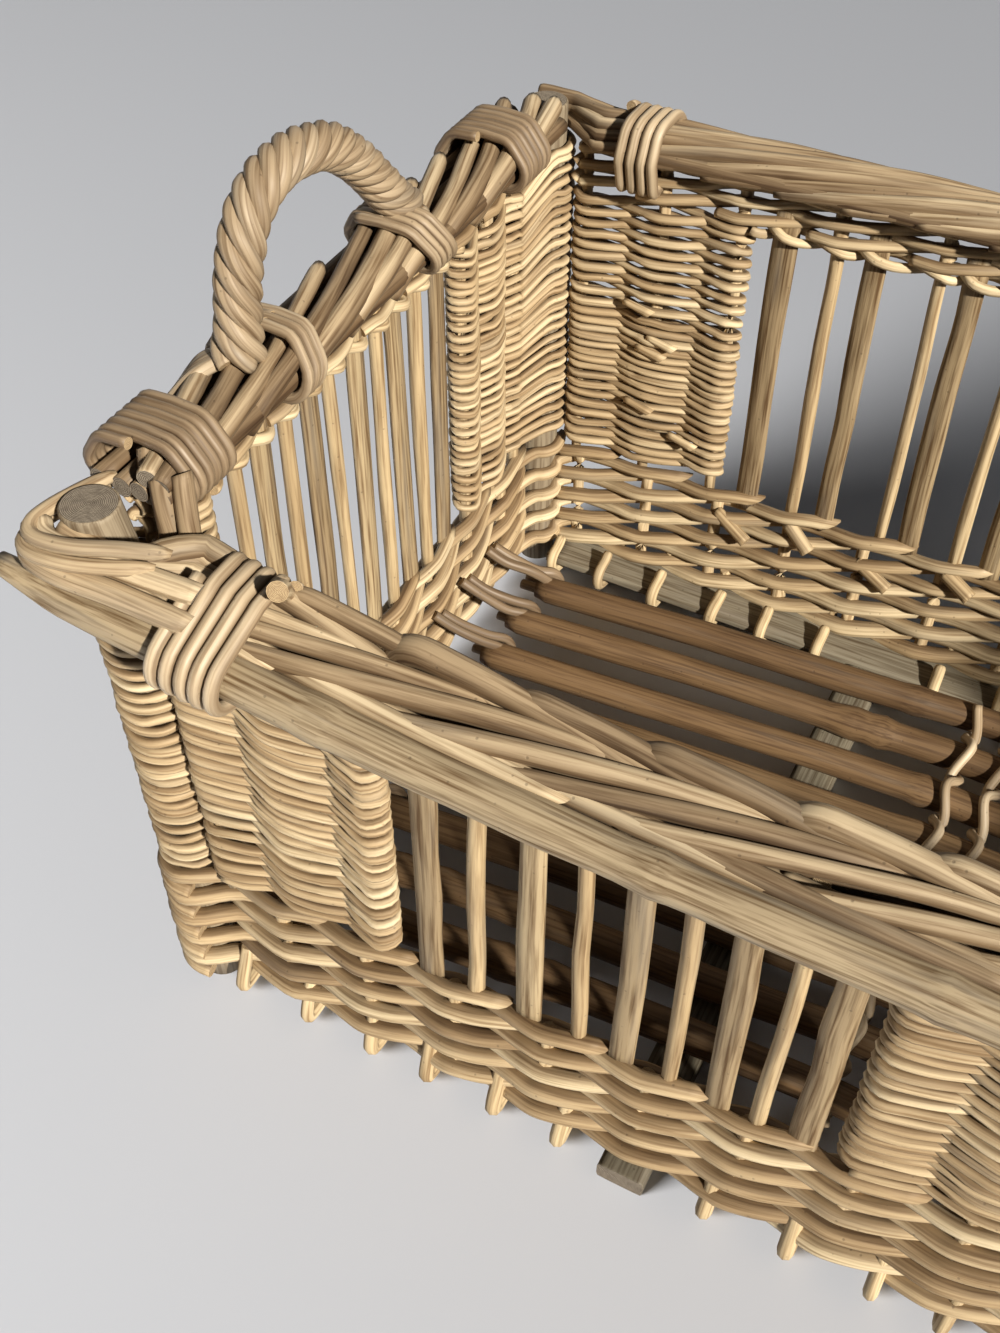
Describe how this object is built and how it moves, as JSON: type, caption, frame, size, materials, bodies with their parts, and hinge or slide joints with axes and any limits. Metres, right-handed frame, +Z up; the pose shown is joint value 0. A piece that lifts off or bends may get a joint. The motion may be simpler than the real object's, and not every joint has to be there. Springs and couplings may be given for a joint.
{
  "type": "rectangular wicker basket",
  "caption": "Long rectangular willow basket with woven corners, open barred windows, a slatted pole floor and a rope handle on each end.",
  "frame": {"origin": "bottom centre of the basket's bounding box, on the ground", "axes": "+X along the long walls, +Y from the front wall to the back wall, +Z up"},
  "size_m": [1.2062, 0.619, 0.5703],
  "materials": {
    "weave": "dry weathered peeled willow rods, matt with a faint sheen",
    "rods": "thick weathered willow rods, matt, grey and straw coloured",
    "bars": "cleft laths and peeled sticks, dry and matt",
    "rail": "peeled pole, weathered, with fine cracks along the grain",
    "poles": "brown peeled poles, smooth and matt",
    "boards": "grey weathered board",
    "posts": "grey-brown round post with sawn end grain",
    "cane": "flexible willow cane with a low sheen",
    "handle": "twisted willow rods, worn smooth"
  },
  "bodies": {
    "root": {"post_front_left": "posts", "post_back_left": "posts", "post_front_right": "posts", "post_back_right": "posts", "floor_pole_1": "poles", "floor_pole_2": "poles", "floor_pole_3": "poles", "floor_pole_4": "poles", "floor_pole_5": "poles", "floor_pole_6": "poles", "floor_pole_7": "poles", "floor_pole_8": "poles", "floor_pole_9": "poles", "cross_batten_left": "boards", "cross_batten_right": "boards", "floor_tie_left": "cane", "floor_tie_right": "cane", "base_board_front": "boards", "base_board_back": "boards", "base_weave_front": "weave", "base_weave_back": "weave", "base_weave_left": "weave", "base_weave_right": "weave", "corner_weave_front_left": "weave", "corner_weave_back_left": "weave", "corner_weave_front_right": "weave", "corner_weave_back_right": "weave", "side_panel_front_left": "weave", "side_panel_front_right": "weave", "side_panel_back_left": "weave", "side_panel_back_right": "weave", "middle_panel_front": "weave", "middle_panel_back": "weave", "window_bars_front_left": "bars", "window_bars_front_right": "bars", "window_bars_back_left": "bars", "window_bars_back_right": "bars", "window_bars_left": "bars", "window_bars_right": "bars", "top_weave_front": "weave", "top_weave_back": "weave", "top_weave_left": "weave", "top_weave_right": "weave", "border_front": "rods", "border_back": "rods", "border_left": "rods", "border_right": "rods", "rail_front": "rail", "lashing_front_left": "cane", "lashing_front_right": "cane", "lashing_back_left": "cane", "lashing_back_right": "cane", "end_lashing_front_left": "cane", "end_lashing_back_left": "cane", "end_lashing_front_right": "cane", "end_lashing_back_right": "cane", "handle_left": "handle", "handle_right": "handle"}
  },
  "joints": []
}
